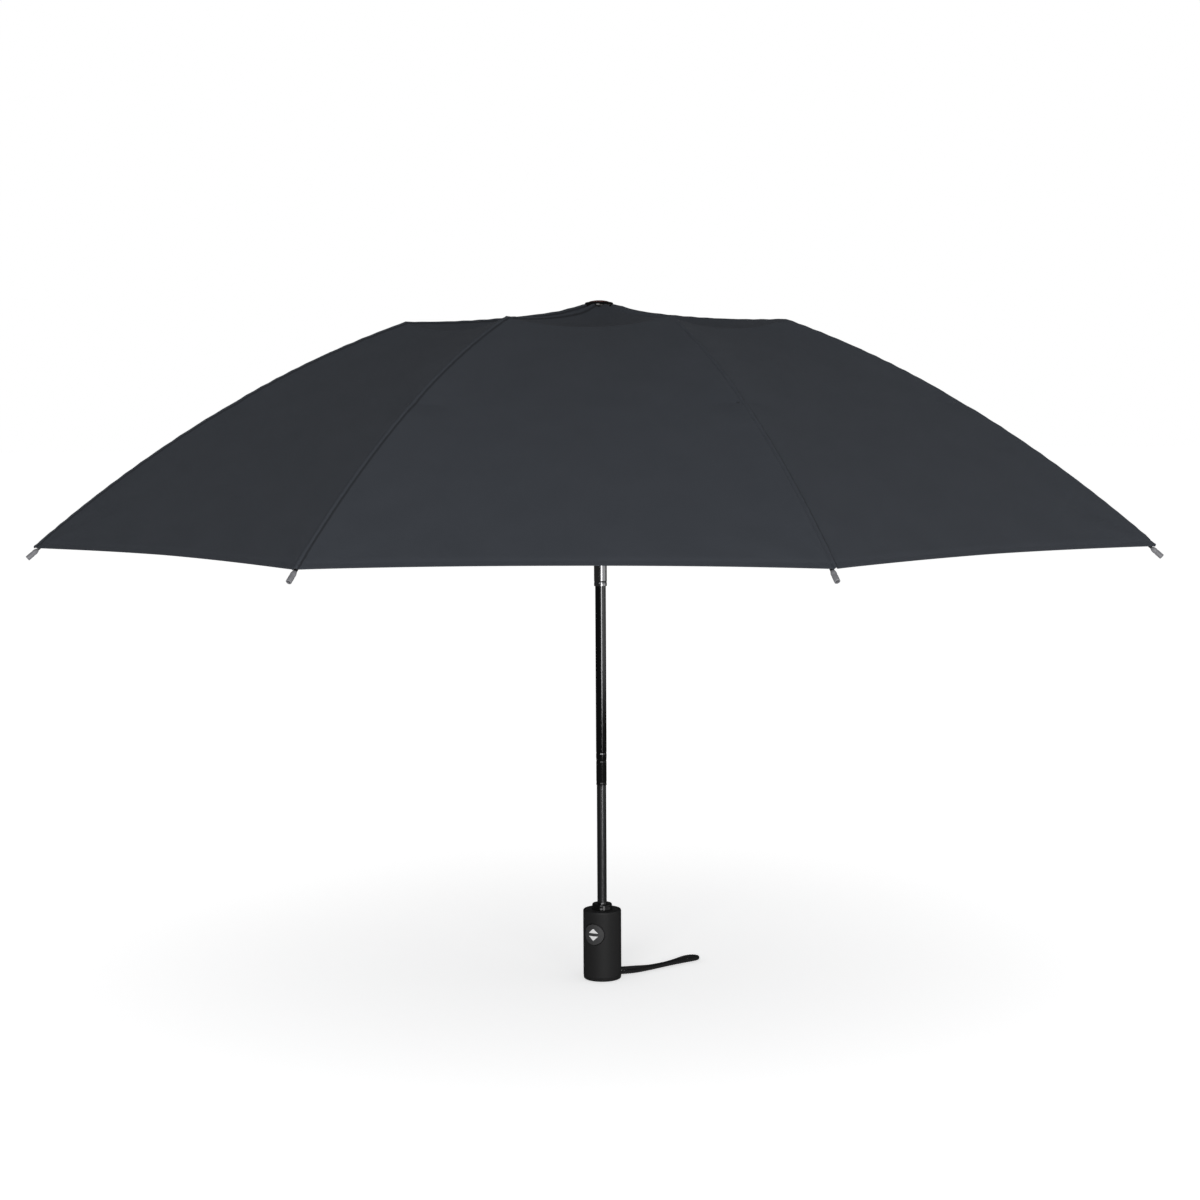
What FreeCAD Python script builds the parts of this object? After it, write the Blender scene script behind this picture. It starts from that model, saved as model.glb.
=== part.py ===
import FreeCAD
import Part
import math
import os

# Folding umbrella, open and upright on its handle. Millimetres, +Z up the shaft,
# origin at the centre of the handle's bottom face.

V = FreeCAD.Vector

# ---------------------------------------------------------------- driving dimensions
DIMS = {
    # overall
    "tip_radius": 478.5,        # shaft axis to the outer end of a rib
    "tip_height": 389.0,        # outer end of a rib over the handle's bottom face
    "rib_count": 8,
    "first_rib_angle": 18.8,    # first rib, from -Y towards +X, degrees
    # crown and runner
    "wire_ring_radius": 9.0,
    "wire_radius": 0.45,
    "crown_pivot_height": 578.0,
    "runner_pivot_height": 520.0,
    "cap_radius": 13.0,
    # ribs
    "rib_joint_one_radius": 172.0,
    "rib_joint_one_height": 570.0,
    "rib_joint_two_radius": 318.0,
    "rib_joint_two_height": 502.5,
    "strut_reach": 100.0,       # from the crown pivot along the inner rib to the strut's eye
    "rib_width": 2.2,
    "side_rib_width": 1.6,
    "rib_depth": 2.6,
    "rib_wall": 0.45,
    "middle_rib_bow": 3.7,      # rise of the middle rib's middle over its chord
    "outer_rib_bow": 4.5,
    "eye_radius": 2.0,
    "rivet_radius": 0.8,
    "layer_gap": 0.3,
    # shaft
    "upper_tube_radius": 5.6,
    "middle_tube_radius": 4.65,
    "lower_tube_radius": 4.15,
    "tube_wall": 0.4,
    "running_gap": 0.05,
    "upper_tube_bottom": 347.0,
    "middle_tube_bottom": 196.0,
    "bush_bottom": 172.0,
    # handle
    "handle_radius": 16.75,
    "handle_height": 62.0,
    "handle_wall": 2.6,
    "collar_height": 5.0,
    "button_radius": 8.5,
    "button_height": 42.0,
    "button_angle": -27.5,      # button, from -Y towards +X, degrees
    "button_travel": 2.0,
    "strap_radius": 1.3,
    # canopy
    "cloth_thickness": 0.6,
    "cloth_lift": 3.3,          # cloth's underside over the line through the rib pivots
}

doc = FreeCAD.newDocument("folding_umbrella")
sheet = doc.addObject("Spreadsheet::Sheet", "dimensions")
sheet.Label = "driving dimensions"
for row, (name, value) in enumerate(DIMS.items(), start=1):
    sheet.set("A%d" % row, name)
    sheet.set("B%d" % row, str(value))
    sheet.setAlias("B%d" % row, name)
doc.recompute()


def dim(name):
    return DIMS[name]


def bind(feature, prop, formula):
    """Tie a property to the sheet; names of dimensions are written as {name}."""
    text = formula
    for name in DIMS:
        text = text.replace("{%s}" % name, "dimensions.%s" % name)
    feature.setExpression(prop, text)


# ---------------------------------------------------------------- sketching helpers
def new_body(label):
    body = doc.addObject("PartDesign::Body", label)
    body.Label = label
    return body


def new_sketch(body, name, plane):
    sketch = body.newObject("Sketcher::SketchObject", name)
    origin_plane = [f for f in body.Origin.OriginFeatures if f.Role == plane][0]
    sketch.AttachmentSupport = (origin_plane, [""])
    sketch.MapMode = "FlatFace"
    return sketch


def polygon(sketch, points):
    """Closed outline through (x, y) points."""
    count = len(points)
    for i in range(count):
        start = V(points[i][0], points[i][1], 0)
        end = V(points[(i + 1) % count][0], points[(i + 1) % count][1], 0)
        sketch.addGeometry(Part.LineSegment(start, end), False)


def circle(sketch, x, y, radius):
    sketch.addGeometry(Part.Circle(V(x, y, 0), V(0, 0, 1), radius), False)


def pad_both_ways(body, sketch, name, width_formula):
    """Pad a sketch by half the width to each side of its plane."""
    doc.recompute()
    pad = body.newObject("PartDesign::Pad", name)
    pad.Profile = sketch
    pad.SideType = "Symmetric"
    bind(pad, "Length", width_formula)
    sketch.Visibility = False
    return pad


def cut_both_ways(body, sketch, name, width_formula):
    """Cut a sketch's outline half the width to each side of its plane."""
    doc.recompute()
    pocket = body.newObject("PartDesign::Pocket", name)
    pocket.Profile = sketch
    pocket.SideType = "Symmetric"
    bind(pocket, "Length", width_formula)
    sketch.Visibility = False
    return pocket


def turned(body, name, points):
    """Revolve an (r, z) outline about the shaft axis."""
    sketch = new_sketch(body, name + "_outline", "XZ_Plane")
    polygon(sketch, points)
    doc.recompute()
    turn = body.newObject("PartDesign::Revolution", name)
    turn.Profile = sketch
    turn.ReferenceAxis = (sketch, ["V_Axis"])
    turn.Angle = 360
    sketch.Visibility = False
    return turn


def tube(label, radius_formula, bore_formula, bottom_formula, top_formula):
    """A round tube as the difference of two bound cylinders."""
    outer = doc.addObject("Part::Cylinder", label + "_outside")
    inner = doc.addObject("Part::Cylinder", label + "_bore")
    bind(outer, "Radius", radius_formula)
    bind(inner, "Radius", bore_formula)
    for cylinder in (outer, inner):
        bind(cylinder, "Placement.Base.z", bottom_formula)
        bind(cylinder, "Height", "(%s) - (%s)" % (top_formula, bottom_formula))
    result = doc.addObject("Part::Cut", label)
    result.Label = label
    result.Base = outer
    result.Tool = inner
    return result


parts = []


def keep(*objects):
    parts.extend(objects)


# ---------------------------------------------------------------- rib frames
def rib_angle(index):
    """Turn about Z that takes +X to the direction of rib `index`."""
    return dim("first_rib_angle") + 360.0 / dim("rib_count") * index - 90.0


def rib_placement(index, layer):
    """Frame of a rib: X outwards, Y across, moved across by `layer`."""
    turn = FreeCAD.Rotation(V(0, 0, 1), rib_angle(index))
    return FreeCAD.Placement(turn.multVec(V(0, layer, 0)), turn)


CROWN_PIVOT = (dim("wire_ring_radius"), dim("crown_pivot_height"))
RUNNER_PIVOT = (dim("wire_ring_radius"), dim("runner_pivot_height"))
JOINT_ONE = (dim("rib_joint_one_radius"), dim("rib_joint_one_height"))
JOINT_TWO = (dim("rib_joint_two_radius"), dim("rib_joint_two_height"))
TIP = (dim("tip_radius"), dim("tip_height"))
SIDE_LAYER = dim("rib_width") / 2 + dim("layer_gap") + dim("side_rib_width") / 2


def along(start, end, distance):
    length = math.hypot(end[0] - start[0], end[1] - start[1])
    share = distance / length
    return (start[0] + share * (end[0] - start[0]), start[1] + share * (end[1] - start[1]))


STRUT_EYE = along(CROWN_PIVOT, JOINT_ONE, dim("strut_reach"))


def bowed_line(start, end, bow, offset, steps=12):
    """Points on a bowed line from start to end, moved sideways by `offset`."""
    dx = end[0] - start[0]
    dz = end[1] - start[1]
    length = math.hypot(dx, dz)
    points = []
    for i in range(steps + 1):
        share = i / steps
        side = 4 * bow * share * (1 - share) + offset
        points.append((start[0] + share * dx - side * dz / length,
                       start[1] + share * dz + side * dx / length))
    return points


def bowed_bar(sketch, start, end, bow, depth, trim=0.0):
    """Outline of a bar of constant depth about a bowed line; `trim` shortens both ends."""
    first = along(start, end, trim)
    last = along(end, start, trim)
    for side in (depth / 2, -depth / 2):
        line = bowed_line(first, last, bow, side)
        curve = Part.BSplineCurve()
        curve.interpolate([V(x, z, 0) for x, z in line])
        sketch.addGeometry(curve, False)
    upper = bowed_line(first, last, bow, depth / 2)
    lower = bowed_line(first, last, bow, -depth / 2)
    for i in (0, -1):
        a = V(upper[i][0], upper[i][1], 0)
        b = V(lower[i][0], lower[i][1], 0)
        sketch.addGeometry(Part.LineSegment(a, b), False)


def eye_pads(body, name, eyes, width_formula):
    """Round lugs at the pivots of a rib."""
    for number, eye in enumerate(eyes, start=1):
        sketch = new_sketch(body, "%s_lug%d_outline" % (name, number), "XZ_Plane")
        circle(sketch, eye[0], eye[1], dim("eye_radius"))
        pad_both_ways(body, sketch, "%s_lug%d" % (name, number), width_formula)


def pivot_holes(body, name, eyes, radius):
    for number, eye in enumerate(eyes, start=1):
        sketch = new_sketch(body, "%s_hole%d_outline" % (name, number), "XZ_Plane")
        circle(sketch, eye[0], eye[1], radius)
        cut_both_ways(body, sketch, "%s_hole%d" % (name, number), "20 * {rib_width}")


def rivet(body, name, eye, length_formula):
    """A rivet's shank, standing out of the rib to carry the neighbouring rib's eye."""
    sketch = new_sketch(body, name + "_outline", "XZ_Plane")
    circle(sketch, eye[0], eye[1], dim("rivet_radius"))
    doc.recompute()
    pad = body.newObject("PartDesign::Pad", name)
    pad.Profile = sketch
    pad.SideType = "One side"
    # the sketch plane's normal is -Y, the side on which the middle rib lies
    bind(pad, "Length", length_formula)
    sketch.Visibility = False


RIVET_LENGTH = "{rib_width} / 2 + {layer_gap} + {side_rib_width} + {layer_gap}"
HOLE_RADIUS = dim("rivet_radius") + 0.1
WIRE_HOLE_RADIUS = dim("wire_radius") + 0.25


def inner_rib(index):
    """Channel-section steel rib from the crown to the first joint."""
    label = "inner_rib_%d" % (index + 1)
    body = new_body(label)
    outline = new_sketch(body, label + "_outline", "XZ_Plane")
    bowed_bar(outline, CROWN_PIVOT, JOINT_ONE, 0.0, dim("rib_depth"), 0.5)
    pad_both_ways(body, outline, label + "_bar", "{rib_width}")
    channel = new_sketch(body, label + "_channel_outline", "XZ_Plane")
    lowered = -dim("rib_wall")
    start = (CROWN_PIVOT[0], CROWN_PIVOT[1] + lowered)
    end = (JOINT_ONE[0], JOINT_ONE[1] + lowered)
    bowed_bar(channel, start, end, 0.0, dim("rib_depth"), 5.0)
    cut_both_ways(body, channel, label + "_channel", "{rib_width} - 2 * {rib_wall}")
    eye_pads(body, label, (CROWN_PIVOT, JOINT_ONE), "{rib_width}")
    pivot_holes(body, label, (CROWN_PIVOT,), WIRE_HOLE_RADIUS)
    rivet(body, label + "_rivet", JOINT_ONE, RIVET_LENGTH)
    body.Placement = rib_placement(index, 0)
    return body


def strut(index):
    """Stretcher from the runner to the inner rib."""
    label = "strut_%d" % (index + 1)
    body = new_body(label)
    outline = new_sketch(body, label + "_outline", "XZ_Plane")
    bowed_bar(outline, RUNNER_PIVOT, STRUT_EYE, 0.0, dim("rib_depth"), 0.5)
    pad_both_ways(body, outline, label + "_bar", "{side_rib_width}")
    eye_pads(body, label, (RUNNER_PIVOT, STRUT_EYE), "{side_rib_width}")
    pivot_holes(body, label, (RUNNER_PIVOT,), WIRE_HOLE_RADIUS + 0.25)
    pivot_holes(body, label + "_far", (STRUT_EYE,), HOLE_RADIUS)
    body.Placement = rib_placement(index, SIDE_LAYER)
    return body


def middle_rib(index):
    """Bowed steel rib between the two folding joints."""
    label = "middle_rib_%d" % (index + 1)
    body = new_body(label)
    outline = new_sketch(body, label + "_outline", "XZ_Plane")
    bowed_bar(outline, JOINT_ONE, JOINT_TWO, dim("middle_rib_bow"), dim("rib_depth"), 0.5)
    pad_both_ways(body, outline, label + "_bar", "{side_rib_width}")
    eye_pads(body, label, (JOINT_ONE, JOINT_TWO), "{side_rib_width}")
    pivot_holes(body, label, (JOINT_ONE, JOINT_TWO), HOLE_RADIUS)
    body.Placement = rib_placement(index, -SIDE_LAYER)
    return body


def tip_direction():
    """Direction of the outer rib at its outer end."""
    line = bowed_line(JOINT_TWO, TIP, dim("outer_rib_bow"), 0.0)
    dx = line[-1][0] - line[-2][0]
    dz = line[-1][1] - line[-2][1]
    length = math.hypot(dx, dz)
    return (dx / length, dz / length)


ROD_DEPTH = 1.8


def outer_rib(index):
    """Bowed glass-fibre rib from the second joint to the tip."""
    label = "outer_rib_%d" % (index + 1)
    body = new_body(label)
    outline = new_sketch(body, label + "_outline", "XZ_Plane")
    bowed_bar(outline, JOINT_TWO, TIP, dim("outer_rib_bow"), ROD_DEPTH)
    pad_both_ways(body, outline, label + "_rod", "{rib_width}")
    eye_pads(body, label, (JOINT_TWO,), "{rib_width}")
    rivet(body, label + "_rivet", JOINT_TWO, RIVET_LENGTH)
    body.Placement = rib_placement(index, 0)
    return body


TIP_LENGTH = 9.0
TIP_RADIUS = 2.1


def rib_tip(index):
    """Moulded sleeve on the rib's outer end, where the cloth's corner is sewn on."""
    label = "rib_tip_%d" % (index + 1)
    dx, dz = tip_direction()
    sleeve = doc.addObject("Part::Cylinder", label + "_sleeve")
    sleeve.Radius = TIP_RADIUS
    sleeve.Height = TIP_LENGTH
    bore = doc.addObject("Part::Cylinder", label + "_bore")
    bore.Radius = TIP_RADIUS - 0.7
    bore.Height = TIP_LENGTH
    tilt = FreeCAD.Rotation(V(0, 0, 1), V(dx, 0, dz))
    sleeve.Placement = FreeCAD.Placement(V(TIP[0] + 0.25 * dx, 0, TIP[1] + 0.25 * dz), tilt)
    bore.Placement = FreeCAD.Placement(V(TIP[0] + 2.5 * dx, 0, TIP[1] + 2.5 * dz), tilt)
    cut = doc.addObject("Part::Cut", label)
    cut.Label = label
    cut.Base = sleeve
    cut.Tool = bore
    cut.Placement = rib_placement(index, 0)
    return cut


for rib in range(int(dim("rib_count"))):
    keep(inner_rib(rib), strut(rib), middle_rib(rib), outer_rib(rib), rib_tip(rib))


# ---------------------------------------------------------------- crown and runner
def slotted_ring(label, outline, slots, ring_height):
    """Turned hub with a slot for each rib end and a groove for the wire ring."""
    body = new_body(label + "_turned")
    turned(body, label + "_hub", outline)
    angles = [rib_angle(i) for i in range(int(dim("rib_count")))]
    hub = body
    tools = []
    for number, angle in enumerate(angles):
        for low, high, width, layer in slots:
            tool = doc.addObject("Part::Box", "%s_slot%d" % (label, number + 1))
            tool.Length = 20
            tool.Width = width
            tool.Height = high - low
            turn = FreeCAD.Rotation(V(0, 0, 1), angle)
            corner = turn.multVec(V(SLOT_FLOOR, layer - width / 2, low))
            tool.Placement = FreeCAD.Placement(corner, turn)
            tools.append(tool)
    groove = doc.addObject("Part::Torus", label + "_wire_groove")
    bind(groove, "Radius1", "{wire_ring_radius}")
    bind(groove, "Radius2", "{wire_radius} + 0.02")
    groove.Placement.Base.z = ring_height
    tools.append(groove)
    cutters = doc.addObject("Part::MultiFuse", label + "_slots")
    cutters.Shapes = tools
    result = doc.addObject("Part::Cut", label)
    result.Label = label
    result.Base = hub
    result.Tool = cutters
    return result


SLOT_FLOOR = 6.4
RIB_SLOT = dim("rib_width") + 0.6
STRUT_SLOT = dim("side_rib_width") + 0.6


def crown():
    """Plastic hub at the top of the shaft, where the inner ribs hinge."""
    inside = dim("upper_tube_radius")
    top = CROWN_PIVOT[1] + 6
    bottom = CROWN_PIVOT[1] - 8
    outline = [(inside, bottom), (8.2, bottom), (8.2, bottom + 2), (11.5, bottom + 5),
               (11.5, top - 3), (10.5, top), (inside, top)]
    slots = [(bottom - 1, CROWN_PIVOT[1] + 3.2, RIB_SLOT, 0.0)]
    return slotted_ring("crown", outline, slots, CROWN_PIVOT[1])


def runner():
    """Sliding hub that opens the ribs, running on the upper tube."""
    inside = dim("upper_tube_radius") + dim("running_gap")
    pivot = RUNNER_PIVOT[1]
    outline = [(inside, pivot - 15), (7.6, pivot - 15), (7.6, pivot - 6), (11.3, pivot - 4),
               (11.3, pivot + 4), (8.4, pivot + 5), (8.4, pivot + 6), (inside, pivot + 6)]
    slots = [(pivot - 2.9, pivot + 8, STRUT_SLOT, SIDE_LAYER)]
    return slotted_ring("runner", outline, slots, pivot)


def wire_ring(label, height_formula):
    """Steel wire on which the rib ends hinge."""
    ring = doc.addObject("Part::Torus", label)
    ring.Label = label
    bind(ring, "Radius1", "{wire_ring_radius}")
    bind(ring, "Radius2", "{wire_radius}")
    bind(ring, "Placement.Base.z", height_formula)
    return ring


def crown_cap():
    """Low domed cap that holds the cloth on the crown."""
    body = new_body("crown_cap")
    low = CROWN_PIVOT[1] + 11.9
    radius = dim("cap_radius")
    turned(body, "crown_cap_turn", [
        (0, low), (radius, low), (radius, low + 1.4), (radius - 1, low + 2.3),
        (radius - 2.2, low + 2.6), (radius - 2.6, low + 2.6), (radius - 5, low + 3.4),
        (5, low + 3.9), (0, low + 4.1)])
    return body


def crown_plug():
    """Plug pressed into the top of the shaft; the cap snaps onto its stem."""
    body = new_body("crown_plug")
    top = CROWN_PIVOT[1] + 6
    low = CROWN_PIVOT[1] + 11.9
    bore = dim("upper_tube_radius") - 0.5
    turned(body, "crown_plug_turn", [
        (0, top - 14), (bore, top - 14), (bore, top), (9.5, top), (9.5, top + 1.6),
        (7.0, top + 1.8), (7.0, low), (0, low)])
    return body


keep(crown(), runner(), wire_ring("crown_wire_ring", "{crown_pivot_height}"),
     wire_ring("runner_wire_ring", "{runner_pivot_height}"), crown_cap(), crown_plug())

# ---------------------------------------------------------------- shaft
keep(
    tube("upper_tube", "{upper_tube_radius}", "{upper_tube_radius} - 0.5",
         "{upper_tube_bottom}", "{crown_pivot_height} + 6"),
    tube("upper_tube_bush", "{upper_tube_radius} - 0.5", "{middle_tube_radius} + {running_gap}",
         "{upper_tube_bottom}", "{upper_tube_bottom} + 14"),
    tube("middle_tube", "{middle_tube_radius}", "{lower_tube_radius} + {running_gap}",
         "{middle_tube_bottom}", "{upper_tube_bottom} + 40"),
    tube("middle_tube_bush", "{middle_tube_radius} - 0.1", "{lower_tube_radius} + {running_gap}",
         "{bush_bottom}", "{middle_tube_bottom}"),
    tube("lower_tube", "{lower_tube_radius}", "{lower_tube_radius} - {tube_wall} - 0.1",
         "12", "{middle_tube_bottom} + 34"),
)


# ---------------------------------------------------------------- handle
STRAP_ANGLE = 14.0


def button_turn():
    """Turn that takes +X to the direction in which the button faces."""
    return FreeCAD.Rotation(V(0, 0, 1), dim("button_angle") - 90.0)


def facing_cylinder(name, radius, start, end):
    """Cylinder along the button's direction, from `start` to `end` off the shaft axis."""
    cylinder = doc.addObject("Part::Cylinder", name)
    cylinder.Radius = radius
    cylinder.Height = end - start
    turn = button_turn()
    lie = turn.multiply(FreeCAD.Rotation(V(0, 1, 0), 90))
    base = turn.multVec(V(start, 0, 0)) + V(0, 0, dim("button_height"))
    cylinder.Placement = FreeCAD.Placement(base, lie)
    return cylinder


def facing_box(name, start, end, width, low, high):
    """Box along the button's direction, centred across it."""
    box = doc.addObject("Part::Box", name)
    box.Length = end - start
    box.Width = width
    box.Height = high - low
    turn = button_turn()
    base = turn.multVec(V(start, -width / 2, 0)) + V(0, 0, dim("button_height") + low)
    box.Placement = FreeCAD.Placement(base, turn)
    return box


def strap_slot(name):
    """Slot low in the side of the grip through which both legs of the strap pass."""
    slot = doc.addObject("Part::Box", name)
    slot.Length = 12
    slot.Width = 3.8
    slot.Height = 6.8
    turn = FreeCAD.Rotation(V(0, 0, 1), STRAP_ANGLE)
    slot.Placement = FreeCAD.Placement(turn.multVec(V(9.5, -1.9, 0)) + V(0, 0, 2.5), turn)
    return slot


def handle_shell():
    """Moulded grip, hollow for the button and the shaft's lower end."""
    body = new_body("handle_shell_turn")
    radius = dim("handle_radius")
    inside = radius - dim("handle_wall")
    top = dim("handle_height")
    turned(body, "handle_shell_profile", [
        (radius - 2.2, 2.4), (radius - 0.3, 2.4), (radius, 3.2), (radius, top - 1.6),
        (radius - 1.0, top), (radius - 2.0, top), (radius - 2.2, top - 0.7),
        (8.8, top - 0.7), (8.8, top - 4.2), (inside, top - 4.2), (inside, 4.2),
        (radius - 2.2, 4.2)])
    well = facing_cylinder("handle_button_well", dim("button_radius") + 0.4, 8, 30)
    strap = strap_slot("handle_strap_slot")
    cutters = doc.addObject("Part::MultiFuse", "handle_shell_openings")
    cutters.Shapes = [well, strap]
    shell = doc.addObject("Part::Cut", "handle_shell")
    shell.Label = "handle_shell"
    shell.Base = body
    shell.Tool = cutters
    return shell


def handle_base_cap():
    """Cap closing the bottom of the grip."""
    body = new_body("handle_base_cap_turn")
    radius = dim("handle_radius")
    turned(body, "handle_base_cap_profile", [
        (0, 0), (radius - 2.6, 0), (radius - 1.2, 0.4), (radius - 0.45, 1.2),
        (radius - 0.3, 2.4), (radius - 2.25, 2.4), (radius - 2.25, 4.1), (radius - 3.8, 4.1),
        (radius - 3.8, 2.4), (0, 2.4)])
    cap = doc.addObject("Part::Cut", "handle_base_cap")
    cap.Label = "handle_base_cap"
    cap.Base = body
    cap.Tool = strap_slot("handle_base_cap_slot")
    return cap


def handle_core():
    """Inner chassis that clamps the lower tube and carries the button's spring."""
    body = new_body("handle_core_turn")
    bore = dim("lower_tube_radius")
    top = dim("handle_height")
    turned(body, "handle_core_profile", [
        (0, 10.0), (14.0, 10.0), (14.0, 11.6), (6.9, 11.6), (6.9, top - 4.3), (8.7, top - 4.3),
        (8.7, top), (bore, top), (bore, 12), (0, 12)])
    post = doc.addObject("Part::Cylinder", "handle_core_strap_post")
    post.Radius = 1.2
    post.Height = 7.5
    turn = FreeCAD.Rotation(V(0, 0, 1), STRAP_ANGLE)
    post.Placement = FreeCAD.Placement(turn.multVec(V(8.2, 0, 0)) + V(0, 0, 2.6), turn)
    solid = doc.addObject("Part::MultiFuse", "handle_core_solid")
    solid.Shapes = [body, post]
    core = doc.addObject("Part::Cut", "handle_core")
    core.Label = "handle_core"
    core.Base = solid
    core.Tool = facing_cylinder("handle_core_spring_seat", 3.4, 4.5, 12)
    return core


def handle_collar():
    """Glossy collar where the shaft enters the grip."""
    body = new_body("handle_collar")
    bore = dim("lower_tube_radius") + 0.02
    low = dim("handle_height")
    top = low + dim("collar_height")
    turned(body, "handle_collar_turn", [
        (bore, low), (9.0, low), (9.0, low + 0.8), (8.75, top - 0.8), (8.3, top), (bore, top)])
    return body


def open_close_button():
    """Round push button whose face follows the grip."""
    disc = facing_cylinder("button_disc", dim("button_radius"), 10.4, 22)
    grip = doc.addObject("Part::Cylinder", "button_face")
    grip.Radius = dim("handle_radius") + 0.5
    grip.Height = 40
    bind(grip, "Placement.Base.z", "{button_height} - 20")
    plate = doc.addObject("Part::Common", "button_plate")
    plate.Base = disc
    plate.Tool = grip
    ears = facing_box("button_ears", 10.4, 12.6, 7.0, -10.6, 10.6)
    body = doc.addObject("Part::MultiFuse", "open_close_button")
    body.Label = "open_close_button"
    body.Shapes = [plate, ears]
    return body


def button_spring():
    """Coil spring behind the button."""
    turn = button_turn()
    helix = doc.addObject("Part::Helix", "button_spring_path")
    helix.Pitch = 2.0
    helix.Height = 2.6
    helix.Radius = 2.4
    lie = turn.multiply(FreeCAD.Rotation(V(0, 1, 0), 90))
    base = turn.multVec(V(7.1, 0, 0)) + V(0, 0, dim("button_height"))
    wire_circle = doc.addObject("Part::Circle", "button_spring_wire")
    wire_circle.Radius = 0.45
    wire_circle.Placement = FreeCAD.Placement(V(2.4, 0, 0), FreeCAD.Rotation(V(1, 0, 0), 90))
    sweep = doc.addObject("Part::Sweep", "button_spring")
    sweep.Label = "button_spring"
    sweep.Sections = [wire_circle]
    sweep.Spine = (helix, ["Edge1"])
    sweep.Solid = True
    sweep.Frenet = True
    sweep.Placement = FreeCAD.Placement(base, lie)
    return sweep


def opening_spring():
    """Coil spring inside the lower tube that drives the shaft open."""
    helix = doc.addObject("Part::Helix", "opening_spring_path")
    helix.Pitch = 4.0
    helix.Height = 100.0
    helix.Radius = 2.7
    section = doc.addObject("Part::Circle", "opening_spring_wire")
    section.Radius = 0.45
    section.Placement = FreeCAD.Placement(V(2.7, 0, 0), FreeCAD.Rotation(V(1, 0, 0), 90))
    sweep = doc.addObject("Part::Sweep", "opening_spring")
    sweep.Label = "opening_spring"
    sweep.Sections = [section]
    sweep.Spine = (helix, ["Edge1"])
    sweep.Solid = True
    sweep.Frenet = True
    sweep.Placement.Base.z = 12.6
    return sweep


# the strap lies in a frame whose X axis runs from the slot to the end of the loop
STRAP_HEADING = 39.0
LOOP_RADIUS = 10.0
LOOP_CENTRE = 80.0
LOOP_CORNER = LOOP_RADIUS * math.tan(math.radians(22.5))
STRAP_REST = 1.4
UPPER_LEG = [(3.5, -1.6, 7.2), (14.0, -4.2, 6.2), (26.0, -2.8, 4.6), (39.0, 1.5, 2.8),
             (54.0, 6.6, 1.5), (69.0, 9.4, STRAP_REST)]
LOOP_END = [(LOOP_CENTRE + LOOP_CORNER, LOOP_RADIUS, STRAP_REST),
            (LOOP_CENTRE + LOOP_RADIUS, LOOP_CORNER, STRAP_REST),
            (LOOP_CENTRE + LOOP_RADIUS, -LOOP_CORNER, STRAP_REST),
            (LOOP_CENTRE + LOOP_CORNER, -LOOP_RADIUS, STRAP_REST)]
LOWER_LEG = [(70.0, -10.3, STRAP_REST), (56.0, -9.4, STRAP_REST), (42.0, -8.0, 1.6),
             (28.0, -6.4, 2.3), (15.0, -4.8, 3.4), (3.5, -1.6, 4.2)]
STRAP_START = 10.9


def strap_points():
    """Corner points of the strap's route."""
    radial = FreeCAD.Rotation(V(0, 0, 1), STRAP_ANGLE)
    exit_point = radial.multVec(V(dim("handle_radius"), 0, 0))
    heading = FreeCAD.Rotation(V(0, 0, 1), STRAP_HEADING)
    inside = radial.multVec(V(STRAP_START, 0, 0))
    points = [inside + V(0, 0, 7.4)]
    for x, y, z in UPPER_LEG + LOOP_END + LOWER_LEG:
        points.append(exit_point + heading.multVec(V(x, y, 0)) + V(0, 0, z))
    points.append(inside + V(0, 0, 4.3))
    return points


def strap_path(points):
    """Straight runs joined by tangent arcs."""
    edges = []
    start = points[0]
    for before, corner, after in zip(points, points[1:], points[2:]):
        into = (corner - before).normalize()
        out = (after - corner).normalize()
        shorter = min((corner - before).Length, (after - corner).Length)
        setback = 0.45 * shorter
        half_turn = into.getAngle(out) / 2
        radius = setback / math.tan(half_turn)
        print("strap bend radius %.1f mm" % radius)
        arc_start = corner - into * setback
        arc_end = corner + out * setback
        middle = (out - into).normalize()
        arc_middle = corner + middle * (radius / math.cos(half_turn) - radius)
        edges.append(Part.LineSegment(start, arc_start).toShape())
        edges.append(Part.Arc(arc_start, arc_middle, arc_end).toShape())
        start = arc_end
    edges.append(Part.LineSegment(start, points[-1]).toShape())
    return Part.Wire(edges)


def wrist_strap():
    """Braided cord loop, both legs entering the slot one above the other."""
    path = strap_path(strap_points())
    radius = dim("strap_radius")
    start = path.Vertexes[0].Point
    direction = path.Edges[0].tangentAt(path.Edges[0].FirstParameter)
    section = Part.Wire(Part.Circle(start, direction, radius).toShape())
    tube_shape = path.makePipeShell([section], True, False)
    expected = math.pi * radius ** 2 * path.Length
    print("strap length %.1f mm, volume %.1f of %.1f mm3" % (
        path.Length, tube_shape.Volume, expected))
    cord = doc.addObject("Part::Feature", "wrist_strap")
    cord.Label = "wrist_strap"
    cord.Shape = tube_shape
    return cord


# ---------------------------------------------------------------- canopy
SEAM_GAP = 0.3
HEM_SCALLOP = 0.012         # share of the panel's length by which mid-hem is drawn in
PANEL_COLUMNS = 9
CLOTH_START = (8.3, CROWN_PIVOT[1] + 10.9)


def cloth_line():
    """(r, z) points of the cloth's underside over a rib, from the crown to the tip."""
    lift = dim("cloth_lift")
    inner = bowed_line(CLOTH_START, (JOINT_ONE[0], JOINT_ONE[1] + lift), -0.5, 0.0, 8)
    middle = bowed_line(JOINT_ONE, JOINT_TWO, dim("middle_rib_bow"), lift, 8)
    outer = bowed_line(JOINT_TWO, TIP, dim("outer_rib_bow"), lift, 8)
    corner = (JOINT_ONE[0] + 0.6, JOINT_ONE[1] + lift)
    return inner[:-1] + [corner] + middle[1:-1] + [
        ((middle[-1][0] + outer[0][0]) / 2, (middle[-1][1] + outer[0][1]) / 2)] + outer[1:]


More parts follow.
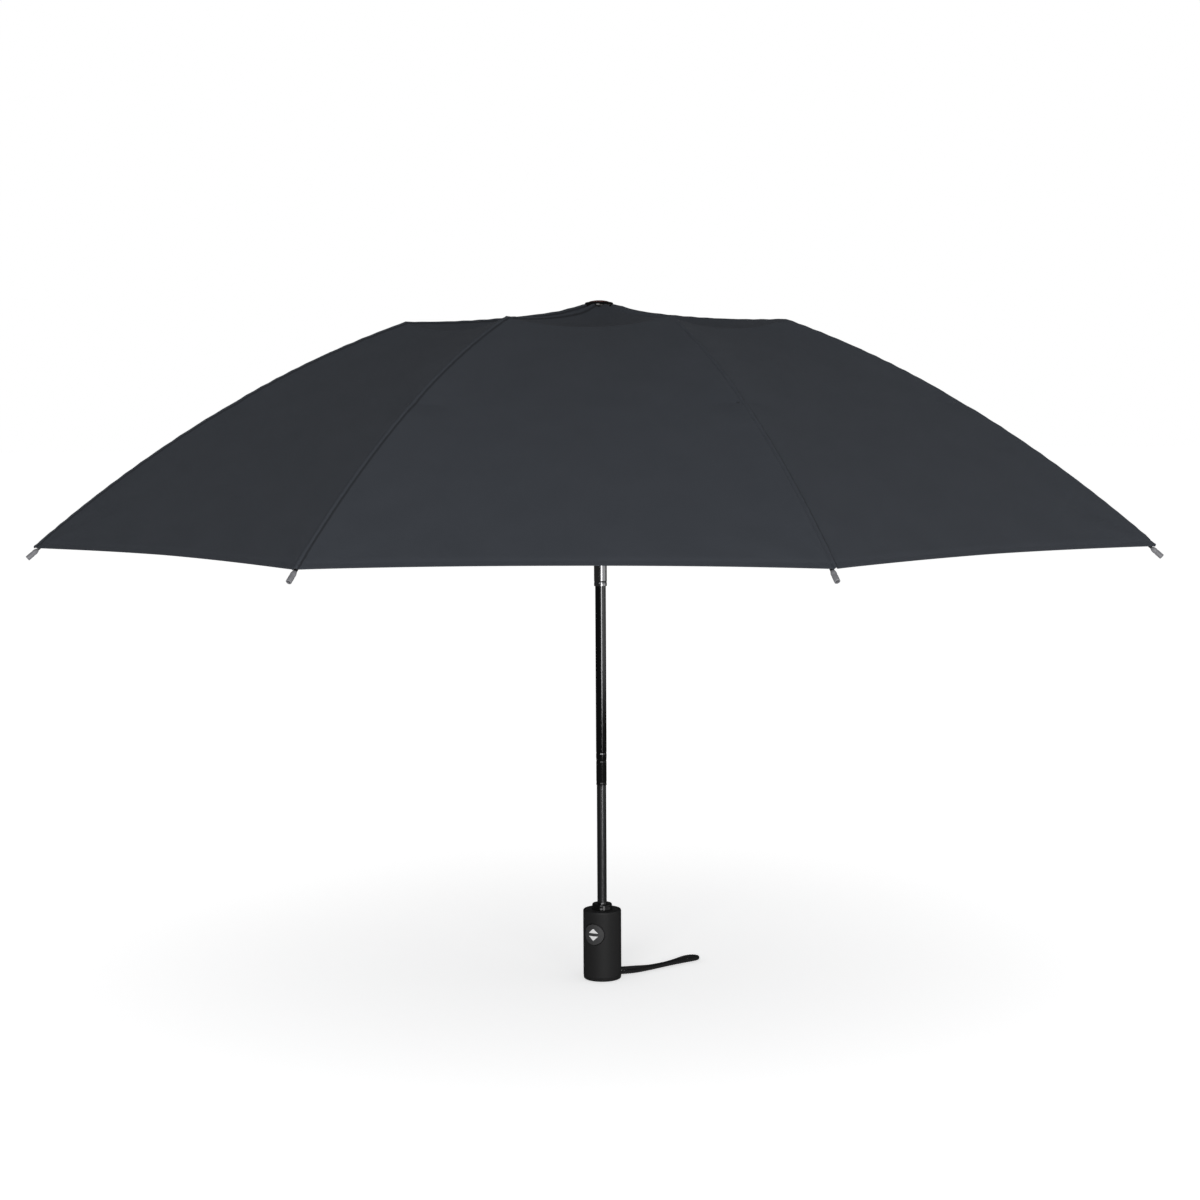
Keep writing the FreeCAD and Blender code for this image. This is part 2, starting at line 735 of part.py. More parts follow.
def panel_sag(radius):
    """How far a panel's middle sinks below the straight line between two ribs."""
    return 0.055 * radius * math.exp(-radius / 160.0) + 0.008 * radius


def line_point(line, share):
    """Point on the cloth line at a share of its count of steps."""
    place = share * (len(line) - 1)
    low = min(int(place), len(line) - 2)
    part = place - low
    return (line[low][0] + part * (line[low + 1][0] - line[low][0]),
            line[low][1] + part * (line[low + 1][1] - line[low][1]))


def panel_solid(line, angle):
    """One panel between two ribs, `angle` being its middle."""
    half = math.radians(180.0 / dim("rib_count"))
    columns = []
    for column in range(PANEL_COLUMNS):
        across = 2.0 * column / (PANEL_COLUMNS - 1) - 1.0
        drawn_in = HEM_SCALLOP * (1 - across ** 2)
        points = []
        for step in range(len(line)):
            share = step / (len(line) - 1)
            radius, height = line_point(line, share * (1 - drawn_in * share ** 4))
            side = across * (radius * math.sin(half) - SEAM_GAP / 2)
            sag = panel_sag(radius) * (1 - across ** 2)
            points.append(V(radius * math.cos(half) - 0.3 * sag, side, height - 0.9 * sag))
        columns.append(points)
    surface = Part.BSplineSurface()
    surface.interpolate(columns)
    solid = surface.toShape().extrude(V(0, 0, dim("cloth_thickness")))
    solid.rotate(V(0, 0, 0), V(0, 0, 1), angle)
    return solid


def canopy_panels():
    """Eight cloth panels sewn edge to edge over the ribs."""
    line = cloth_line()
    half = 180.0 / dim("rib_count")
    panels = [panel_solid(line, rib_angle(i) + half) for i in range(int(dim("rib_count")))]
    cloth = doc.addObject("Part::Feature", "canopy_panels")
    cloth.Label = "canopy_panels"
    cloth.Shape = Part.makeCompound(panels)
    return cloth


keep(handle_shell(), handle_base_cap(), handle_core(), handle_collar(), open_close_button(),
     button_spring(), opening_spring(), wrist_strap(), canopy_panels())

# ---------------------------------------------------------------- checks and export
doc.recompute()
for item in doc.Objects:
    if "Invalid" in item.State or "Error" in item.State:
        raise RuntimeError("%s did not recompute: %s" % (item.Name, item.State))
os.makedirs("parts", exist_ok=True)
for part in parts:
    if part.Shape.isNull() or not part.Shape.isValid():
        raise RuntimeError("%s has no valid shape" % part.Label)
    part.Shape.exportStep("parts/%s.step" % part.Label)
print("%d parts" % len(parts))
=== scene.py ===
import math

import bpy
from mathutils import Matrix, Vector


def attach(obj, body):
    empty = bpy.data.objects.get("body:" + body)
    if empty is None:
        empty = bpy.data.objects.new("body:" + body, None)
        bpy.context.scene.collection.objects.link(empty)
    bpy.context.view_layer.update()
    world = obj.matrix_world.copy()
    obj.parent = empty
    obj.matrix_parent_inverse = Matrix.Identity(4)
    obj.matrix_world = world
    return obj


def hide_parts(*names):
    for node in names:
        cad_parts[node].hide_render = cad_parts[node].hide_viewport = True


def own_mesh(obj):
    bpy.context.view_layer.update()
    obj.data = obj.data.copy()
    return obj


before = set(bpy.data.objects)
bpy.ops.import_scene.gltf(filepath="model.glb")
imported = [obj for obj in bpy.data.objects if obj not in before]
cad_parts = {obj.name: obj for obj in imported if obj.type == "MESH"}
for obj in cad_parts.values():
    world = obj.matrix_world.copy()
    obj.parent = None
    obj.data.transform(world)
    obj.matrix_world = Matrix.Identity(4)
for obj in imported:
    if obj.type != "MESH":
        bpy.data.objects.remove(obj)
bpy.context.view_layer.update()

# Camera and room. The umbrella stands on a pale studio floor and is seen a little
# from above the handle and from under the canopy's top, with soft light from the
# front and long panels at the right that the tubes mirror.
CAMERA_DISTANCE = 1.987
CAMERA_SIDE = -0.0104
CAMERA_HEIGHT = 0.4958
CAMERA_PITCH = 4.636
CAMERA_ROLL = 0.30
CAMERA_TURN = -0.311
LENS = 68.63
SENSOR_WIDTH = 36


def deselect():
    if bpy.context.object and bpy.context.object.mode != "OBJECT":
        bpy.ops.object.mode_set(mode="OBJECT")
    bpy.ops.object.select_all(action="DESELECT")


deselect()
bpy.ops.object.camera_add(location=(CAMERA_SIDE, -CAMERA_DISTANCE, CAMERA_HEIGHT),
                          rotation=(math.radians(90 - CAMERA_PITCH),
                                    math.radians(CAMERA_ROLL), math.radians(CAMERA_TURN)))
camera = bpy.context.object
camera.data.lens = LENS
camera.data.sensor_width = SENSOR_WIDTH
bpy.context.scene.camera = camera


def soft_light(name, place, aim, width, height, power):
    """Studio panel at `place`, facing `aim`."""
    turn = (Vector(aim) - Vector(place)).to_track_quat("-Z", "Y").to_euler()
    bpy.ops.object.light_add(type="AREA", location=place, rotation=turn)
    lamp = bpy.context.object
    lamp.name = name
    lamp.data.shape = "RECTANGLE"
    lamp.data.size = width
    lamp.data.size_y = height
    lamp.data.energy = power


soft_light("front_panel", (-0.5, -3.2, 1.2), (0, 0, 0.35), 1.5, 1.5, 40)
soft_light("front_strip", (0.78, -2.05, 0.32), (0, 0, 0.3), 0.7, 0.7, 9)
soft_light("right_panel", (1.9, -0.7, 0.5), (0, 0, 0.3), 2.6, 1.0, 5)

world = bpy.data.worlds.new("studio_air")
bpy.context.scene.world = world
world.use_nodes = True
air = world.node_tree.nodes["Background"]
air.inputs["Color"].default_value = (1, 1, 1, 1)
AIR_LIGHT = 0.56
AIR_MIRRORED = 0.04
AIR_SEEN = 1.0
sight = world.node_tree.nodes.new("ShaderNodeLightPath")
unseen = world.node_tree.nodes.new("ShaderNodeMapRange")
unseen.inputs["To Min"].default_value = AIR_LIGHT
unseen.inputs["To Max"].default_value = AIR_MIRRORED
world.node_tree.links.new(sight.outputs["Is Glossy Ray"], unseen.inputs["Value"])
level = world.node_tree.nodes.new("ShaderNodeMapRange")
level.inputs["To Max"].default_value = AIR_SEEN
world.node_tree.links.new(unseen.outputs["Result"], level.inputs["To Min"])
world.node_tree.links.new(sight.outputs["Is Camera Ray"], level.inputs["Value"])
world.node_tree.links.new(level.outputs["Result"], air.inputs["Strength"])
bpy.context.scene.view_settings.view_transform = "Standard"


# Finishes. Each is a principled surface; sums on sockets are written as Python
# expressions, so that a weave reads as its formula.
class Wire:
    """An output of a finish's node, with arithmetic."""

    def __init__(self, finish, socket):
        self.finish = finish
        self.socket = socket

    def maths(self, operation, *values):
        sockets = dict(enumerate(values))
        return self.finish.node("ShaderNodeMath", {"operation": operation}, sockets)

    def __add__(self, other):
        return self.maths("ADD", self, other)

    def __radd__(self, other):
        return self.maths("ADD", other, self)

    def __sub__(self, other):
        return self.maths("SUBTRACT", self, other)

    def __rsub__(self, other):
        return self.maths("SUBTRACT", other, self)

    def __mul__(self, other):
        return self.maths("MULTIPLY", self, other)

    def __rmul__(self, other):
        return self.maths("MULTIPLY", other, self)

    def sine(self):
        return self.maths("SINE", self)

    def part(self):
        return self.maths("FRACT", self)

    def over(self, limit):
        return self.maths("GREATER_THAN", self, limit)

    def under(self, limit):
        return self.maths("LESS_THAN", self, limit)


class Finish:
    """A material with one principled shader."""

    def __init__(self, name, colour, roughness, metallic=0.0, **constants):
        self.material = bpy.data.materials.new(name)
        self.material.use_nodes = True
        self.tree = self.material.node_tree
        self.shader = self.tree.nodes["Principled BSDF"]
        self.set("Base Color", (*colour, 1))
        self.set("Roughness", roughness)
        self.set("Metallic", metallic)
        for socket, value in constants.items():
            self.set(socket.replace("_", " "), value)

    def set(self, socket, value):
        self.feed(self.shader.inputs[socket], value)

    def feed(self, socket, value):
        if isinstance(value, Wire):
            self.tree.links.new(value.socket, socket)
        else:
            socket.default_value = value

    def node(self, kind, settings=None, sockets=None, output=0):
        made = self.tree.nodes.new(kind)
        for name, value in (settings or {}).items():
            setattr(made, name, value)
        for name, value in (sockets or {}).items():
            self.feed(made.inputs[name], value)
        return Wire(self, made.outputs[output])

    def object_place(self):
        return self.node("ShaderNodeTexCoord", output="Object")

    def uv(self):
        """The piece's own map, as (across, along) in metres."""
        place = self.node("ShaderNodeTexCoord", output="UV")
        across = self.node("ShaderNodeSeparateXYZ", sockets={0: place}, output=0)
        along = self.node("ShaderNodeSeparateXYZ", sockets={0: place}, output=1)
        return place, across, along

    def noise(self, place, scale, detail=2.0):
        return self.node("ShaderNodeTexNoise",
                         sockets={"Vector": place, "Scale": scale, "Detail": detail})

    def mix(self, factor, first, second):
        made = self.tree.nodes.new("ShaderNodeMix")
        made.data_type = "RGBA"
        self.feed(made.inputs[0], factor)
        self.feed(made.inputs[6], (*first, 1) if isinstance(first, tuple) else first)
        self.feed(made.inputs[7], (*second, 1) if isinstance(second, tuple) else second)
        return Wire(self, made.outputs[2])

    def relief(self, height, depth):
        """Bump of `depth` metres where height runs from 0 to 1."""
        self.set("Normal", self.node("ShaderNodeBump", sockets={
            "Height": height, "Distance": depth, "Strength": 1.0}))


def put_on(piece, finish):
    piece.data.materials.clear()
    piece.data.materials.append(finish.material)


# Floor. A pale seamless sweep of paper; it isn't part of the umbrella.
deselect()
FLOOR_SIZE = 60
FLOOR_GAP = 0.0004
FLOOR_GLOW = 0.52
bpy.ops.mesh.primitive_plane_add(size=FLOOR_SIZE, location=(0, 0, -FLOOR_GAP))
floor = bpy.context.object
floor.name = "studio_floor"
floor.visible_glossy = False
put_on(floor, Finish("pale_paper", (0.88, 0.88, 0.88), 1.0, Specular_IOR_Level=0.0,
                     Emission_Color=(1, 1, 1, 1), Emission_Strength=FLOOR_GLOW))

# Wrist strap. One length of braided polyester cord, 3 mm across, knotted round a
# post inside the grip; both legs leave the slot one above the other and the loop
# lies on the floor beside the handle.
STRAP_DIAMETER = 0.0030
STRAP_EXIT_TURN = math.radians(14)
STRAP_HEADING = math.radians(42)
GRIP_RADIUS = 0.01675
STRAP_START = 0.0109
LOOP = [(0.0030, 0.0002, 0.0068), (0.012, 0.0010, 0.0056), (0.024, 0.0017, 0.0040),
        (0.036, 0.0019, 0.0024), (0.050, 0.0018, 0.0020), (0.063, 0.0022, 0.0020),
        (0.076, 0.0050, 0.0020), (0.0846, 0.0068, 0.0020), (0.0919, 0.0062, 0.0020),
        (0.0959, 0.0010, 0.0020), (0.0919, -0.0042, 0.0020), (0.0846, -0.0042, 0.0020),
        (0.074, -0.0030, 0.0020), (0.060, -0.0018, 0.0020), (0.046, -0.0016, 0.0020),
        (0.032, -0.0015, 0.0020), (0.018, -0.0012, 0.0022), (0.0030, 0.0, 0.0033)]


def turned_about_z(x, y, z, angle):
    return Vector((x * math.cos(angle) - y * math.sin(angle),
                   x * math.sin(angle) + y * math.cos(angle), z))


strap_exit = turned_about_z(GRIP_RADIUS, 0, 0, STRAP_EXIT_TURN)
strap_route = [turned_about_z(STRAP_START, 0, 0.0073, STRAP_EXIT_TURN)]
for x, y, z in LOOP:
    strap_route.append(strap_exit + turned_about_z(x, y, z, STRAP_HEADING))
strap_route.append(turned_about_z(STRAP_START, 0, 0.0039, STRAP_EXIT_TURN))


def cord_curve(name, points, diameter, kind="NURBS", sides=4):
    """Round cord through control points."""
    data = bpy.data.curves.new(name, "CURVE")
    data.dimensions = "3D"
    data.resolution_u = 8
    data.bevel_depth = diameter / 2
    data.bevel_resolution = sides
    data.use_fill_caps = True
    spline = data.splines.new(kind)
    spline.points.add(len(points) - 1)
    for point, place in zip(spline.points, points):
        point.co = (*place, 1)
    if kind == "NURBS":
        spline.order_u = 3
        spline.use_endpoint_u = True
    cord = bpy.data.objects.new(name, data)
    bpy.context.scene.collection.objects.link(cord)
    return cord


braid_black = Finish("braid_black", (0.006, 0.006, 0.0065), 0.7)
strap = cord_curve("wrist_strap_core", strap_route, STRAP_DIAMETER)
put_on(strap, braid_black)


def smooth_route(points, count):
    """Evenly spaced places along the strap's own curve, and the curve's length."""
    path = []
    for i in range(1, len(points) - 1):
        start = points[0] if i == 1 else (points[i - 1] + points[i]) / 2
        end = points[-1] if i == len(points) - 2 else (points[i] + points[i + 1]) / 2
        for step in range(12):
            share = step / 12
            path.append(start.lerp(points[i], share).lerp(points[i].lerp(end, share), share))
    path.append(points[-1].copy())
    lengths = [0.0]
    for a, b in zip(path, path[1:]):
        lengths.append(lengths[-1] + (b - a).length)
    places = []
    index = 0
    for i in range(count):
        target = lengths[-1] * i / (count - 1)
        while index < len(path) - 2 and lengths[index + 1] < target:
            index += 1
        share = (target - lengths[index]) / max(lengths[index + 1] - lengths[index], 1e-9)
        places.append(path[index].lerp(path[index + 1], min(share, 1.0)))
    return places, lengths[-1]


YARN_STEPS = 340
YARNS_EACH_WAY = 3
YARN_TURN = 0.0075          # length of strap in which a yarn goes once round
YARN_DIAMETER = 0.0008
places, strap_run = smooth_route(strap_route, YARN_STEPS)
yarns = []
for way in (1, -1):
    for start in range(YARNS_EACH_WAY):
        line = []
        for i in range(2, YARN_STEPS - 2):
            along = (places[i + 1] - places[i - 1]).normalized()
            side = along.cross(Vector((0, 0, 1))).normalized()
            upward = side.cross(along)
            turn = way * 2 * math.pi * strap_run * i / (YARN_STEPS - 1) / YARN_TURN
            turn += 2 * math.pi * start / YARNS_EACH_WAY
            reach = STRAP_DIAMETER / 2 - 0.00012 + 0.00006 * way * math.sin(3 * turn)
            line.append(places[i] + reach * (math.cos(turn) * side + math.sin(turn) * upward))
        yarns.append(cord_curve("wrist_strap_yarn_%d" % (len(yarns) + 1), line,
                                YARN_DIAMETER, "POLY", 1))
deselect()
for yarn in yarns:
    yarn.select_set(True)
bpy.context.view_layer.objects.active = yarns[0]
bpy.ops.object.join()
braid = bpy.context.object
braid.name = "wrist_strap_braid"
put_on(braid, braid_black)
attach(strap, "handle")
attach(braid, "handle")
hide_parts("wrist_strap")

# Ribs' common measures, as in the frame: eight ribs, three lengths each, hinged at
# the crown and at two joints, and bowed over the last two lengths.
RIB_COUNT = 8
HALF_PANEL = math.pi / RIB_COUNT
FIRST_RIB = math.radians(18.8)
JOINT_ONE = (0.172, 0.570)
JOINT_TWO = (0.318, 0.5025)
TIP = (0.4785, 0.389)
MIDDLE_BOW = 0.0037
OUTER_BOW = 0.0045
CLOTH_LIFT = 0.0033
CLOTH_START = (0.0083, 0.5889)


def rib_turn(index):
    """Angle from +X to rib `index`, about Z."""
    return FIRST_RIB + 2 * math.pi * index / RIB_COUNT - math.pi / 2


def bowed(start, end, bow, lift, share):
    """(r, z) on a bowed rib, lifted off it."""
    dx = end[0] - start[0]
    dz = end[1] - start[1]
    length = math.hypot(dx, dz)
    side = 4 * bow * share * (1 - share) + lift
    return (start[0] + share * dx - side * dz / length,
            start[1] + share * dz + side * dx / length)


# Canopy. Eight panels of tight plain-weave polyester, each cut as a narrow triangle
# with a faintly hollow hem, joined by felled seams over the ribs and hemmed with a
# narrow double fold. The cloth is shown in lengths that fold with the ribs.
CLOTH_THICKNESS = 0.00035
HEM_WIDTH = 0.006
HEM_GAP = 0.0006
STITCH_BACK = HEM_WIDTH - 0.0006
STITCH_DROP = 0.00022
HEM_SCALLOP = 0.020
SEAM_COLUMNS = (0.0, 0.0006, 0.0011, 0.0016, 0.0021, 0.0027, 0.0036, 0.005)
OPEN_COLUMNS = 15
ROWS = {"inner": 24, "middle": 24, "outer": 30}


def cloth_rows():
    """(r, z, length) of every row on the rib line, and the rows at which lengths meet."""
    rows = []
    marks = [0]
    corner = (JOINT_ONE[0] + 0.0006, JOINT_ONE[1] + CLOTH_LIFT)
    count = ROWS["inner"]
    for i in range(count):
        share = i / (count - 1)
        rows.append((CLOTH_START[0] + share * (corner[0] - CLOTH_START[0]),
                     CLOTH_START[1] + share * (corner[1] - CLOTH_START[1])
                     - 0.016 * share * (1 - share)))
    marks.append(len(rows) - 1)
    end = bowed(JOINT_ONE, JOINT_TWO, MIDDLE_BOW, CLOTH_LIFT, 1.0)
    start = bowed(JOINT_TWO, TIP, OUTER_BOW, CLOTH_LIFT, 0.0)
    meet = ((end[0] + start[0]) / 2, (end[1] + start[1]) / 2)
    count = ROWS["middle"]
    for i in range(1, count):
        share = i / (count - 1)
        r, z = bowed(JOINT_ONE, JOINT_TWO, MIDDLE_BOW, CLOTH_LIFT, share)
        ease = (1 - share) ** 6
        far = share ** 6
        rows.append((r + ease * (corner[0] - r) * 0.4 + far * (meet[0] - end[0]),
                     z + ease * (corner[1] - z) * 0.4 + far * (meet[1] - end[1])))
    marks.append(len(rows) - 1)
    count = ROWS["outer"]
    for i in range(1, count):
        share = 1 - (1 - i / (count - 1)) ** 1.25
        r, z = bowed(JOINT_TWO, TIP, OUTER_BOW, CLOTH_LIFT, share)
        near = (1 - share) ** 6
        rows.append((r + near * (meet[0] - start[0]), z + near * (meet[1] - start[1])))
    marks.append(len(rows) - 1)
    lengths = [0.0]
    for a, b in zip(rows, rows[1:]):
        lengths.append(lengths[-1] + math.hypot(b[0] - a[0], b[1] - a[1]))
    return rows, lengths, marks


CLOTH_ROWS, CLOTH_LENGTHS, CLOTH_MARKS = cloth_rows()
CLOTH_LENGTH = CLOTH_LENGTHS[-1]


def rib_line(length):
    """(r, z) at a length along the cloth's rib line."""
    length = min(max(length, 0.0), CLOTH_LENGTH)
    low = 0
    high = len(CLOTH_LENGTHS) - 1
    while high - low > 1:
        middle = (low + high) // 2
        if CLOTH_LENGTHS[middle] <= length:
            low = middle
        else:
            high = middle
    share = (length - CLOTH_LENGTHS[low]) / (CLOTH_LENGTHS[high] - CLOTH_LENGTHS[low])
    a = CLOTH_ROWS[low]
    b = CLOTH_ROWS[high]
    return (a[0] + share * (b[0] - a[0]), a[1] + share * (b[1] - a[1]))


def line_normal(length):
    """(r, z) direction square to the rib line, upwards."""
    a = rib_line(length - 0.004)
    b = rib_line(length + 0.004)
    size = math.hypot(b[0] - a[0], b[1] - a[1])
    return (-(b[1] - a[1]) / size, (b[0] - a[0]) / size)


CROWN_SAG = 0.19
CROWN_SAG_REACH = 0.12
HEM_SAG = 0.008


def panel_sag(r):
    """How far a panel's middle sinks under the straight line from rib to rib."""
    return CROWN_SAG * r * math.exp(-r / CROWN_SAG_REACH) + HEM_SAG * r


def bump(distance, place, width):
    """1 at `place`, falling away to both sides."""
    return math.exp(-((distance - place) / width) ** 2)


def crown_rise(r):
    """Height by which the gathered cloth stands up round the cap."""
    return 0.0024 * bump(r, 0.014, 0.016)


def felled_seam(side):
    """Height of the seam's fold at a distance from the rib line; the fold lies on one side."""
    return 0.0014 * bump(side, 0.0018, 0.0011) - 0.0005 * bump(side, -0.0001, 0.0006)


def creases(panel, length, across, side):
    """Small unevenness of stretched cloth, nothing at mid-panel and at the rib line."""
    open_cloth = 1 - across ** 2
    puckers = 0.00025 * math.sin(length / 0.0021 + 1.7 * panel) * math.exp(-side / 0.007)
    tie = CLOTH_LENGTHS[CLOTH_MARKS[2]]
    from_seam = side / 0.009
    pinch = 0.0010 * bump(length, tie, 0.010) * from_seam * math.exp(1 - from_seam)
    slack = 0.0007 * math.sin(length / 0.031 + 2.1 * panel) * open_cloth * abs(across)
    from_tip = CLOTH_LENGTH - length
    reach = math.hypot(from_tip, side)
    fan = math.atan2(side, from_tip + 1e-6)
    rays = math.sin(9 * fan + panel) * math.sin(math.pi * min(fan / (math.pi / 2), 1.0))
    gathers = 0.0011 * rays * math.exp(-reach / 0.055) * min(reach / 0.015, 1.0)
    return puckers - pinch + slack + gathers


def cloth_point(panel, length, across, side):
    """Place on panel `panel`, `across` from -1 at its first rib to 1 at the next."""
    share = length / CLOTH_LENGTH
    drawn_in = HEM_SCALLOP * (1 - across ** 2) * share ** 4
    r, z = rib_line(length * (1 - drawn_in))
    normal = line_normal(length * (1 - drawn_in))
    sag = panel_sag(r) * (1 - across ** 2)
    rise = creases(panel, length, across, side)
    outward = r * math.cos(HALF_PANEL) - 0.3 * sag + rise * normal[0]
    sideways = across * r * math.sin(HALF_PANEL)
    turn = rib_turn(panel) + HALF_PANEL
    height = z - 0.9 * sag + rise * normal[1] + crown_rise(r)
    return turned_about_z(outward, sideways, height, turn)


def column_places(half_width):
    """Distances from the rib line of one side's columns, closest at the seam."""
    shrink = min(1.0, half_width / 0.03)
    places = [shrink * c for c in SEAM_COLUMNS]
    last = places[-1]
    for i in range(1, OPEN_COLUMNS + 1):
        share = i / OPEN_COLUMNS
        places.append(last + (half_width - last) * share ** 1.25)
    return places


def strip_rows(part):
    """(length, drop) of the rows of one length of cloth; the outer one ends in a hem fold."""
    marks = {"inner": (0, 1), "middle": (1, 2), "outer": (2, 3)}[part]
    first = CLOTH_MARKS[marks[0]]
    last = CLOTH_MARKS[marks[1]]
    rows = [(CLOTH_LENGTHS[i], 0.0) for i in range(first, last + 1)]
    if part == "outer":
        rows = [row for row in rows if row[0] < CLOTH_LENGTH - HEM_WIDTH - 0.001]
        for back in (HEM_WIDTH, STITCH_BACK, 0.003, 0.0012, 0.0004):
            rows.append((CLOTH_LENGTH - back, STITCH_DROP if back == STITCH_BACK else 0.0))
        rows.append((CLOTH_LENGTH, HEM_GAP / 2))
        for back in (0.0004, 0.003, HEM_WIDTH):
            rows.append((CLOTH_LENGTH - back, HEM_GAP))
    return rows


def cloth_strip(index, part):
    """One rib's cloth from mid-panel to mid-panel, between two joints of the rib."""
    rows = strip_rows(part)
    columns = 2 * (len(SEAM_COLUMNS) + OPEN_COLUMNS) - 1
    deselect()
    bpy.ops.mesh.primitive_grid_add(x_subdivisions=columns - 1,
                                    y_subdivisions=len(rows) - 1, size=1)
    strip = bpy.context.object
    strip.name = "canopy_%s_%d" % (part, index + 1)
    places = []
    maps = []
    for length, drop in rows:
        r = rib_line(length)[0]
        normal = line_normal(length)
        half_width = r * math.sin(HALF_PANEL)
        sides = column_places(half_width)
        line = [-s for s in reversed(sides[1:])] + sides
        for side in line:
            panel = index if side >= 0 else index - 1
            across = -1 + abs(side) / half_width if side >= 0 else 1 - abs(side) / half_width
            place = cloth_point(panel, length, across, abs(side))
            lift = felled_seam(side) - drop
            out = turned_about_z(normal[0], 0, normal[1], rib_turn(index))
            places.append(place + lift * out)
            maps.append((side, length))
    for vertex, place in zip(strip.data.vertices, places):
        vertex.co = place
    layer = strip.data.uv_layers.active
    for loop in strip.data.loops:
        layer.data[loop.index].uv = maps[loop.vertex_index]
    bpy.ops.object.mode_set(mode="EDIT")
    bpy.ops.mesh.select_all(action="SELECT")
    bpy.ops.mesh.flip_normals()
    bpy.ops.object.mode_set(mode="OBJECT")
    thicken = strip.modifiers.new("cloth", "SOLIDIFY")
    thicken.thickness = CLOTH_THICKNESS
    thicken.offset = -1
    bpy.ops.object.modifier_apply(modifier=thicken.name)
    bpy.ops.object.shade_smooth_by_angle(angle=math.radians(50))
    return strip


WEAVE = 0.00042
pongee = Finish("pongee", (0.030, 0.033, 0.041), 0.75, Specular_IOR_Level=0.12, Sheen_Weight=0.03,
                Sheen_Roughness=0.45, Sheen_Tint=(0.6, 0.65, 0.75, 1))
place, across, along = pongee.uv()
warp = (across * (2 * math.pi / WEAVE)).sine()
weft = (along * (2 * math.pi / WEAVE)).sine()
cloud = pongee.noise(place, 26.0, 3.0)
shade = pongee.mix(cloud, (0.031, 0.035, 0.042), (0.037, 0.041, 0.049))
# Painted shade: a darker line along the foot of the seam's fold, where the raised fold meets the
# flat cloth.
fold_foot_shade = across.maths("ABSOLUTE", across - 0.0036).under(0.0007)
pongee.set("Base Color", pongee.mix(fold_foot_shade, shade, (0.020, 0.022, 0.026)))
near_seam = across.maths("ABSOLUTE", across - 0.0034).under(0.00022)
stitch = (along * (1 / 0.0026)).part().under(0.72)
pongee.relief(0.5 + 0.12 * (warp * weft) - 0.5 * (near_seam * stitch), 0.00022)

for index in range(RIB_COUNT):
    turn = rib_turn(index)
    sideways = turned_about_z(0, 1, 0, turn)
    for part in ("inner", "middle", "outer"):
        strip = cloth_strip(index, part)
        put_on(strip, pongee)
        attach(strip, "%s_rib_body_%d" % (part, index + 1))
        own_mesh(strip)
        rows = strip_rows(part)
        length = max(row[0] for row in rows) - rows[0][0]
        widths = [2 * rib_line(row[0])[0] * math.sin(HALF_PANEL) for row in rows]
        cut = length * (widths[0] + max(widths)) / 2
        min(cut, max(widths) * length)
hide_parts("canopy_panels")

# Turned parts. Small round pieces are built ring by ring from a circle, as on a lathe.
LATHE_SIDES = 48


def turned_piece(name, profile, sides=LATHE_SIDES, sharp=35):
    """Body of revolution about Z from (r, z) points; a closed profile makes a tube."""
    deselect()
    closed = profile[0] == profile[-1]
    first_r, first_z = profile[0]
    start_r = max(first_r, 0.00001)
    bpy.ops.mesh.primitive_circle_add(vertices=sides, radius=start_r, location=(0, 0, 0),
                                      fill_type="NOTHING")
    piece = bpy.context.object
    piece.name = name
    bpy.ops.object.mode_set(mode="EDIT")
    bpy.ops.mesh.select_all(action="SELECT")
    bpy.ops.transform.translate(value=(0, 0, first_z))
    for (r0, z0), (r1, z1) in zip(profile, profile[1:]):
        bpy.ops.mesh.extrude_edges_move(TRANSFORM_OT_translate={"value": (0, 0, z1 - z0)})
        scale = max(r1, 0.00001) / max(r0, 0.00001)
        bpy.ops.transform.resize(value=(scale, scale, 1), center_override=(0, 0, z1))
    bpy.ops.mesh.select_all(action="SELECT")
    bpy.ops.mesh.remove_doubles(threshold=0.000004 if closed else 0.00002)
    if not closed:
        bpy.ops.mesh.select_all(action="DESELECT")
        bpy.ops.mesh.select_mode(type="VERT")
        bpy.ops.mesh.select_non_manifold()
        bpy.ops.mesh.edge_face_add()
    bpy.ops.mesh.select_all(action="SELECT")
    bpy.ops.mesh.normals_make_consistent(inside=False)
    bpy.ops.object.mode_set(mode="OBJECT")
    bpy.ops.object.transform_apply(location=True, rotation=True, scale=True)
    bpy.ops.object.shade_smooth_by_angle(angle=math.radians(sharp))
    return piece


def fit_out(piece, body, finish, replaced=()):
    put_on(piece, finish)
    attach(piece, body)
    if replaced:
        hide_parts(*replaced)


def cut_with(piece, tool, operation="DIFFERENCE"):
    """Boolean of two solids; the tool is used up."""
    deselect()
    bpy.context.view_layer.objects.active = piece
    piece.select_set(True)
    cut = piece.modifiers.new("cut", "BOOLEAN")
    cut.operation = operation
    cut.solver = "EXACT"
    cut.object = tool
    bpy.ops.object.modifier_apply(modifier=cut.name)
    bpy.data.objects.remove(tool)


def copied(piece, name):
    twin = piece.copy()
    twin.data = piece.data.copy()
    twin.name = name
    bpy.context.scene.collection.objects.link(twin)
    return twin


def placed(piece, matrix):
    """Moves a piece by moving its mesh."""
    piece.data.transform(matrix)
    return piece


